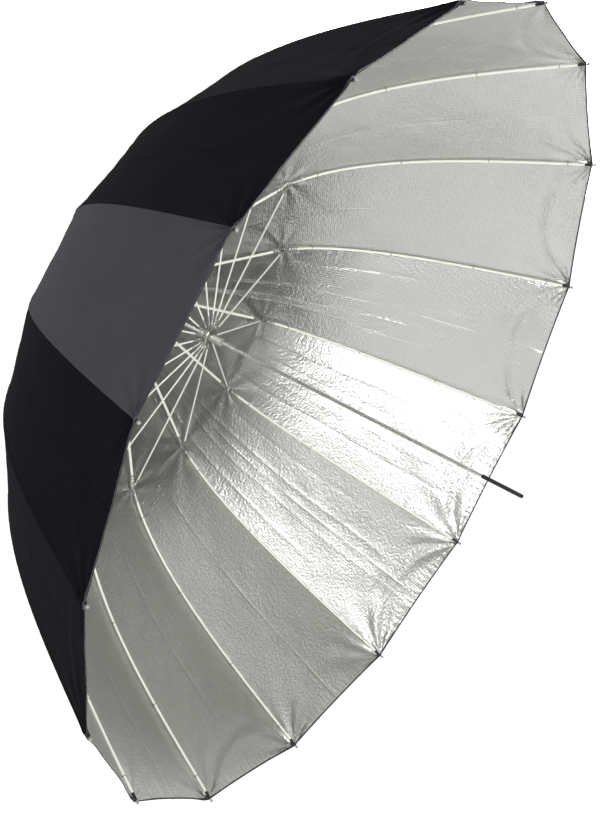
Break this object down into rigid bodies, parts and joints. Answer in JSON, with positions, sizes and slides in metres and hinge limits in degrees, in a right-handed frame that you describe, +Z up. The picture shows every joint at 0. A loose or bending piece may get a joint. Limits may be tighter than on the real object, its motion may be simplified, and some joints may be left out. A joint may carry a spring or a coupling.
{
  "type": "umbrella reflector",
  "caption": "Deep folding studio umbrella reflector: silver inside, black outside, fibreglass ribs, a sliding runner and a straight clamp shaft.",
  "frame": {"origin": "on the shaft's axis, in the middle of the stretch that a stand's holder clamps", "axes": "+Y along the shaft towards the crown, the mouth faces -Y, +Z up through the first rib"},
  "size_m": [1.6594, 0.9951, 1.6594],
  "materials": {
    "silver_fabric": "metallic silver, satin, fine ripstop weave",
    "black_fabric": "black satin polyester",
    "fibreglass": "pale fibreglass rod, semi-gloss",
    "steel": "plated steel, satin",
    "black_plastic": "moulded, satin"
  },
  "bodies": {
    "root": {"canopy": "silver_fabric", "shaft": "steel", "shaft_end_plug": "black_plastic", "crown_notch": "black_plastic", "crown_wire": "steel", "stop_collar": "steel", "crown_washer": "black_plastic", "finial": "black_plastic"},
    "runner": {"runner": "steel", "runner_wire": "steel", "runner_grip": "steel"},
    "catch": {"catch_blade": "steel"},
    "rib_inner_01": {"rib_inner_01": "fibreglass"},
    "rib_outer_01": {"rib_outer_01": "fibreglass"},
    "stretcher_01": {"stretcher_01": "fibreglass"},
    "rib_inner_02": {"rib_inner_02": "fibreglass"},
    "rib_outer_02": {"rib_outer_02": "fibreglass"},
    "stretcher_02": {"stretcher_02": "fibreglass"},
    "rib_inner_03": {"rib_inner_03": "fibreglass"},
    "rib_outer_03": {"rib_outer_03": "fibreglass"},
    "stretcher_03": {"stretcher_03": "fibreglass"},
    "rib_inner_04": {"rib_inner_04": "fibreglass"},
    "rib_outer_04": {"rib_outer_04": "fibreglass"},
    "stretcher_04": {"stretcher_04": "fibreglass"},
    "rib_inner_05": {"rib_inner_05": "fibreglass"},
    "rib_outer_05": {"rib_outer_05": "fibreglass"},
    "stretcher_05": {"stretcher_05": "fibreglass"},
    "rib_inner_06": {"rib_inner_06": "fibreglass"},
    "rib_outer_06": {"rib_outer_06": "fibreglass"},
    "stretcher_06": {"stretcher_06": "fibreglass"},
    "rib_inner_07": {"rib_inner_07": "fibreglass"},
    "rib_outer_07": {"rib_outer_07": "fibreglass"},
    "stretcher_07": {"stretcher_07": "fibreglass"},
    "rib_inner_08": {"rib_inner_08": "fibreglass"},
    "rib_outer_08": {"rib_outer_08": "fibreglass"},
    "stretcher_08": {"stretcher_08": "fibreglass"},
    "rib_inner_09": {"rib_inner_09": "fibreglass"},
    "rib_outer_09": {"rib_outer_09": "fibreglass"},
    "stretcher_09": {"stretcher_09": "fibreglass"},
    "rib_inner_10": {"rib_inner_10": "fibreglass"},
    "rib_outer_10": {"rib_outer_10": "fibreglass"},
    "stretcher_10": {"stretcher_10": "fibreglass"},
    "rib_inner_11": {"rib_inner_11": "fibreglass"},
    "rib_outer_11": {"rib_outer_11": "fibreglass"},
    "stretcher_11": {"stretcher_11": "fibreglass"},
    "rib_inner_12": {"rib_inner_12": "fibreglass"},
    "rib_outer_12": {"rib_outer_12": "fibreglass"},
    "stretcher_12": {"stretcher_12": "fibreglass"},
    "rib_inner_13": {"rib_inner_13": "fibreglass"},
    "rib_outer_13": {"rib_outer_13": "fibreglass"},
    "stretcher_13": {"stretcher_13": "fibreglass"},
    "rib_inner_14": {"rib_inner_14": "fibreglass"},
    "rib_outer_14": {"rib_outer_14": "fibreglass"},
    "stretcher_14": {"stretcher_14": "fibreglass"},
    "rib_inner_15": {"rib_inner_15": "fibreglass"},
    "rib_outer_15": {"rib_outer_15": "fibreglass"},
    "stretcher_15": {"stretcher_15": "fibreglass"},
    "rib_inner_16": {"rib_inner_16": "fibreglass"},
    "rib_outer_16": {"rib_outer_16": "fibreglass"},
    "stretcher_16": {"stretcher_16": "fibreglass"}
  },
  "joints": [
    {"name": "fold", "type": "hinge", "parent": "root", "child": "rib_inner_01", "pos_m": [0, 0.842, 0.014], "axis": [1, 0, 0], "range_deg": [0, 68], "deforming": ["canopy"]},
    {"name": "elbow_01", "type": "hinge", "parent": "rib_inner_01", "child": "rib_outer_01", "pos_m": [0, 0.721, 0.432], "axis": [1, 0, 0], "range_deg": [-32, 0]},
    {"name": "stretcher_hinge_01", "type": "hinge", "parent": "rib_inner_01", "child": "stretcher_01", "pos_m": [0, 0.721, 0.432], "axis": [1, 0, 0], "range_deg": [-137, 0]},
    {"name": "crown_hinge_02", "type": "hinge", "parent": "root", "child": "rib_inner_02", "pos_m": [0.00536, 0.842, 0.01293], "axis": [0.9239, 0, -0.3827], "range_deg": [0, 68]},
    {"name": "elbow_02", "type": "hinge", "parent": "rib_inner_02", "child": "rib_outer_02", "pos_m": [0.16532, 0.721, 0.39912], "axis": [0.9239, 0, -0.3827], "range_deg": [-32, 0]},
    {"name": "stretcher_hinge_02", "type": "hinge", "parent": "rib_inner_02", "child": "stretcher_02", "pos_m": [0.16532, 0.721, 0.39912], "axis": [0.9239, 0, -0.3827], "range_deg": [-137, 0]},
    {"name": "crown_hinge_03", "type": "hinge", "parent": "root", "child": "rib_inner_03", "pos_m": [0.0099, 0.842, 0.0099], "axis": [0.7071, 0, -0.7071], "range_deg": [0, 68]},
    {"name": "elbow_03", "type": "hinge", "parent": "rib_inner_03", "child": "rib_outer_03", "pos_m": [0.30547, 0.721, 0.30547], "axis": [0.7071, 0, -0.7071], "range_deg": [-32, 0]},
    {"name": "stretcher_hinge_03", "type": "hinge", "parent": "rib_inner_03", "child": "stretcher_03", "pos_m": [0.30547, 0.721, 0.30547], "axis": [0.7071, 0, -0.7071], "range_deg": [-137, 0]},
    {"name": "crown_hinge_04", "type": "hinge", "parent": "root", "child": "rib_inner_04", "pos_m": [0.01293, 0.842, 0.00536], "axis": [0.3827, 0, -0.9239], "range_deg": [0, 68]},
    {"name": "elbow_04", "type": "hinge", "parent": "rib_inner_04", "child": "rib_outer_04", "pos_m": [0.39912, 0.721, 0.16532], "axis": [0.3827, 0, -0.9239], "range_deg": [-32, 0]},
    {"name": "stretcher_hinge_04", "type": "hinge", "parent": "rib_inner_04", "child": "stretcher_04", "pos_m": [0.39912, 0.721, 0.16532], "axis": [0.3827, 0, -0.9239], "range_deg": [-137, 0]},
    {"name": "crown_hinge_05", "type": "hinge", "parent": "root", "child": "rib_inner_05", "pos_m": [0.014, 0.842, 0], "axis": [0, 0, -1], "range_deg": [0, 68]},
    {"name": "elbow_05", "type": "hinge", "parent": "rib_inner_05", "child": "rib_outer_05", "pos_m": [0.432, 0.721, 0], "axis": [0, 0, -1], "range_deg": [-32, 0]},
    {"name": "stretcher_hinge_05", "type": "hinge", "parent": "rib_inner_05", "child": "stretcher_05", "pos_m": [0.432, 0.721, 0], "axis": [0, 0, -1], "range_deg": [-137, 0]},
    {"name": "crown_hinge_06", "type": "hinge", "parent": "root", "child": "rib_inner_06", "pos_m": [0.01293, 0.842, -0.00536], "axis": [-0.3827, 0, -0.9239], "range_deg": [0, 68]},
    {"name": "elbow_06", "type": "hinge", "parent": "rib_inner_06", "child": "rib_outer_06", "pos_m": [0.39912, 0.721, -0.16532], "axis": [-0.3827, 0, -0.9239], "range_deg": [-32, 0]},
    {"name": "stretcher_hinge_06", "type": "hinge", "parent": "rib_inner_06", "child": "stretcher_06", "pos_m": [0.39912, 0.721, -0.16532], "axis": [-0.3827, 0, -0.9239], "range_deg": [-137, 0]},
    {"name": "crown_hinge_07", "type": "hinge", "parent": "root", "child": "rib_inner_07", "pos_m": [0.0099, 0.842, -0.0099], "axis": [-0.7071, 0, -0.7071], "range_deg": [0, 68]},
    {"name": "elbow_07", "type": "hinge", "parent": "rib_inner_07", "child": "rib_outer_07", "pos_m": [0.30547, 0.721, -0.30547], "axis": [-0.7071, 0, -0.7071], "range_deg": [-32, 0]},
    {"name": "stretcher_hinge_07", "type": "hinge", "parent": "rib_inner_07", "child": "stretcher_07", "pos_m": [0.30547, 0.721, -0.30547], "axis": [-0.7071, 0, -0.7071], "range_deg": [-137, 0]},
    {"name": "crown_hinge_08", "type": "hinge", "parent": "root", "child": "rib_inner_08", "pos_m": [0.00536, 0.842, -0.01293], "axis": [-0.9239, 0, -0.3827], "range_deg": [0, 68]},
    {"name": "elbow_08", "type": "hinge", "parent": "rib_inner_08", "child": "rib_outer_08", "pos_m": [0.16532, 0.721, -0.39912], "axis": [-0.9239, 0, -0.3827], "range_deg": [-32, 0]},
    {"name": "stretcher_hinge_08", "type": "hinge", "parent": "rib_inner_08", "child": "stretcher_08", "pos_m": [0.16532, 0.721, -0.39912], "axis": [-0.9239, 0, -0.3827], "range_deg": [-137, 0]},
    {"name": "crown_hinge_09", "type": "hinge", "parent": "root", "child": "rib_inner_09", "pos_m": [0, 0.842, -0.014], "axis": [-1, 0, 0], "range_deg": [0, 68]},
    {"name": "elbow_09", "type": "hinge", "parent": "rib_inner_09", "child": "rib_outer_09", "pos_m": [0, 0.721, -0.432], "axis": [-1, 0, 0], "range_deg": [-32, 0]},
    {"name": "stretcher_hinge_09", "type": "hinge", "parent": "rib_inner_09", "child": "stretcher_09", "pos_m": [0, 0.721, -0.432], "axis": [-1, 0, 0], "range_deg": [-137, 0]},
    {"name": "crown_hinge_10", "type": "hinge", "parent": "root", "child": "rib_inner_10", "pos_m": [-0.00536, 0.842, -0.01293], "axis": [-0.9239, 0, 0.3827], "range_deg": [0, 68]},
    {"name": "elbow_10", "type": "hinge", "parent": "rib_inner_10", "child": "rib_outer_10", "pos_m": [-0.16532, 0.721, -0.39912], "axis": [-0.9239, 0, 0.3827], "range_deg": [-32, 0]},
    {"name": "stretcher_hinge_10", "type": "hinge", "parent": "rib_inner_10", "child": "stretcher_10", "pos_m": [-0.16532, 0.721, -0.39912], "axis": [-0.9239, 0, 0.3827], "range_deg": [-137, 0]},
    {"name": "crown_hinge_11", "type": "hinge", "parent": "root", "child": "rib_inner_11", "pos_m": [-0.0099, 0.842, -0.0099], "axis": [-0.7071, 0, 0.7071], "range_deg": [0, 68]},
    {"name": "elbow_11", "type": "hinge", "parent": "rib_inner_11", "child": "rib_outer_11", "pos_m": [-0.30547, 0.721, -0.30547], "axis": [-0.7071, 0, 0.7071], "range_deg": [-32, 0]},
    {"name": "stretcher_hinge_11", "type": "hinge", "parent": "rib_inner_11", "child": "stretcher_11", "pos_m": [-0.30547, 0.721, -0.30547], "axis": [-0.7071, 0, 0.7071], "range_deg": [-137, 0]},
    {"name": "crown_hinge_12", "type": "hinge", "parent": "root", "child": "rib_inner_12", "pos_m": [-0.01293, 0.842, -0.00536], "axis": [-0.3827, 0, 0.9239], "range_deg": [0, 68]},
    {"name": "elbow_12", "type": "hinge", "parent": "rib_inner_12", "child": "rib_outer_12", "pos_m": [-0.39912, 0.721, -0.16532], "axis": [-0.3827, 0, 0.9239], "range_deg": [-32, 0]},
    {"name": "stretcher_hinge_12", "type": "hinge", "parent": "rib_inner_12", "child": "stretcher_12", "pos_m": [-0.39912, 0.721, -0.16532], "axis": [-0.3827, 0, 0.9239], "range_deg": [-137, 0]},
    {"name": "crown_hinge_13", "type": "hinge", "parent": "root", "child": "rib_inner_13", "pos_m": [-0.014, 0.842, 0], "axis": [0, 0, 1], "range_deg": [0, 68]},
    {"name": "elbow_13", "type": "hinge", "parent": "rib_inner_13", "child": "rib_outer_13", "pos_m": [-0.432, 0.721, 0], "axis": [0, 0, 1], "range_deg": [-32, 0]},
    {"name": "stretcher_hinge_13", "type": "hinge", "parent": "rib_inner_13", "child": "stretcher_13", "pos_m": [-0.432, 0.721, 0], "axis": [0, 0, 1], "range_deg": [-137, 0]},
    {"name": "crown_hinge_14", "type": "hinge", "parent": "root", "child": "rib_inner_14", "pos_m": [-0.01293, 0.842, 0.00536], "axis": [0.3827, 0, 0.9239], "range_deg": [0, 68]},
    {"name": "elbow_14", "type": "hinge", "parent": "rib_inner_14", "child": "rib_outer_14", "pos_m": [-0.39912, 0.721, 0.16532], "axis": [0.3827, 0, 0.9239], "range_deg": [-32, 0]},
    {"name": "stretcher_hinge_14", "type": "hinge", "parent": "rib_inner_14", "child": "stretcher_14", "pos_m": [-0.39912, 0.721, 0.16532], "axis": [0.3827, 0, 0.9239], "range_deg": [-137, 0]},
    {"name": "crown_hinge_15", "type": "hinge", "parent": "root", "child": "rib_inner_15", "pos_m": [-0.0099, 0.842, 0.0099], "axis": [0.7071, 0, 0.7071], "range_deg": [0, 68]},
    {"name": "elbow_15", "type": "hinge", "parent": "rib_inner_15", "child": "rib_outer_15", "pos_m": [-0.30547, 0.721, 0.30547], "axis": [0.7071, 0, 0.7071], "range_deg": [-32, 0]},
    {"name": "stretcher_hinge_15", "type": "hinge", "parent": "rib_inner_15", "child": "stretcher_15", "pos_m": [-0.30547, 0.721, 0.30547], "axis": [0.7071, 0, 0.7071], "range_deg": [-137, 0]},
    {"name": "crown_hinge_16", "type": "hinge", "parent": "root", "child": "rib_inner_16", "pos_m": [-0.00536, 0.842, 0.01293], "axis": [0.9239, 0, 0.3827], "range_deg": [0, 68]},
    {"name": "elbow_16", "type": "hinge", "parent": "rib_inner_16", "child": "rib_outer_16", "pos_m": [-0.16532, 0.721, 0.39912], "axis": [0.9239, 0, 0.3827], "range_deg": [-32, 0]},
    {"name": "stretcher_hinge_16", "type": "hinge", "parent": "rib_inner_16", "child": "stretcher_16", "pos_m": [-0.16532, 0.721, 0.39912], "axis": [0.9239, 0, 0.3827], "range_deg": [-137, 0]},
    {"name": "runner_hinge", "type": "hinge", "parent": "stretcher_01", "child": "runner", "pos_m": [0, 0.6, 0.014], "axis": [1, 0, 0], "range_deg": [0, 69]},
    {"name": "catch", "type": "hinge", "parent": "root", "child": "catch", "pos_m": [0, 0.534, 0.002], "axis": [-1, 0, 0], "range_deg": [0, 9], "stiffness_Nm_per_rad": 0.6}
  ],
  "couplings": [
    {"joint": "elbow_01", "follows": "fold", "ratio": -0.4588},
    {"joint": "stretcher_hinge_01", "follows": "fold", "ratio": -2},
    {"joint": "crown_hinge_02", "follows": "fold", "ratio": 1},
    {"joint": "elbow_02", "follows": "fold", "ratio": -0.4588},
    {"joint": "stretcher_hinge_02", "follows": "fold", "ratio": -2},
    {"joint": "crown_hinge_03", "follows": "fold", "ratio": 1},
    {"joint": "elbow_03", "follows": "fold", "ratio": -0.4588},
    {"joint": "stretcher_hinge_03", "follows": "fold", "ratio": -2},
    {"joint": "crown_hinge_04", "follows": "fold", "ratio": 1},
    {"joint": "elbow_04", "follows": "fold", "ratio": -0.4588},
    {"joint": "stretcher_hinge_04", "follows": "fold", "ratio": -2},
    {"joint": "crown_hinge_05", "follows": "fold", "ratio": 1},
    {"joint": "elbow_05", "follows": "fold", "ratio": -0.4588},
    {"joint": "stretcher_hinge_05", "follows": "fold", "ratio": -2},
    {"joint": "crown_hinge_06", "follows": "fold", "ratio": 1},
    {"joint": "elbow_06", "follows": "fold", "ratio": -0.4588},
    {"joint": "stretcher_hinge_06", "follows": "fold", "ratio": -2},
    {"joint": "crown_hinge_07", "follows": "fold", "ratio": 1},
    {"joint": "elbow_07", "follows": "fold", "ratio": -0.4588},
    {"joint": "stretcher_hinge_07", "follows": "fold", "ratio": -2},
    {"joint": "crown_hinge_08", "follows": "fold", "ratio": 1},
    {"joint": "elbow_08", "follows": "fold", "ratio": -0.4588},
    {"joint": "stretcher_hinge_08", "follows": "fold", "ratio": -2},
    {"joint": "crown_hinge_09", "follows": "fold", "ratio": 1},
    {"joint": "elbow_09", "follows": "fold", "ratio": -0.4588},
    {"joint": "stretcher_hinge_09", "follows": "fold", "ratio": -2},
    {"joint": "crown_hinge_10", "follows": "fold", "ratio": 1},
    {"joint": "elbow_10", "follows": "fold", "ratio": -0.4588},
    {"joint": "stretcher_hinge_10", "follows": "fold", "ratio": -2},
    {"joint": "crown_hinge_11", "follows": "fold", "ratio": 1},
    {"joint": "elbow_11", "follows": "fold", "ratio": -0.4588},
    {"joint": "stretcher_hinge_11", "follows": "fold", "ratio": -2},
    {"joint": "crown_hinge_12", "follows": "fold", "ratio": 1},
    {"joint": "elbow_12", "follows": "fold", "ratio": -0.4588},
    {"joint": "stretcher_hinge_12", "follows": "fold", "ratio": -2},
    {"joint": "crown_hinge_13", "follows": "fold", "ratio": 1},
    {"joint": "elbow_13", "follows": "fold", "ratio": -0.4588},
    {"joint": "stretcher_hinge_13", "follows": "fold", "ratio": -2},
    {"joint": "crown_hinge_14", "follows": "fold", "ratio": 1},
    {"joint": "elbow_14", "follows": "fold", "ratio": -0.4588},
    {"joint": "stretcher_hinge_14", "follows": "fold", "ratio": -2},
    {"joint": "crown_hinge_15", "follows": "fold", "ratio": 1},
    {"joint": "elbow_15", "follows": "fold", "ratio": -0.4588},
    {"joint": "stretcher_hinge_15", "follows": "fold", "ratio": -2},
    {"joint": "crown_hinge_16", "follows": "fold", "ratio": 1},
    {"joint": "elbow_16", "follows": "fold", "ratio": -0.4588},
    {"joint": "stretcher_hinge_16", "follows": "fold", "ratio": -2},
    {"joint": "runner_hinge", "follows": "fold", "ratio": 1}
  ]
}
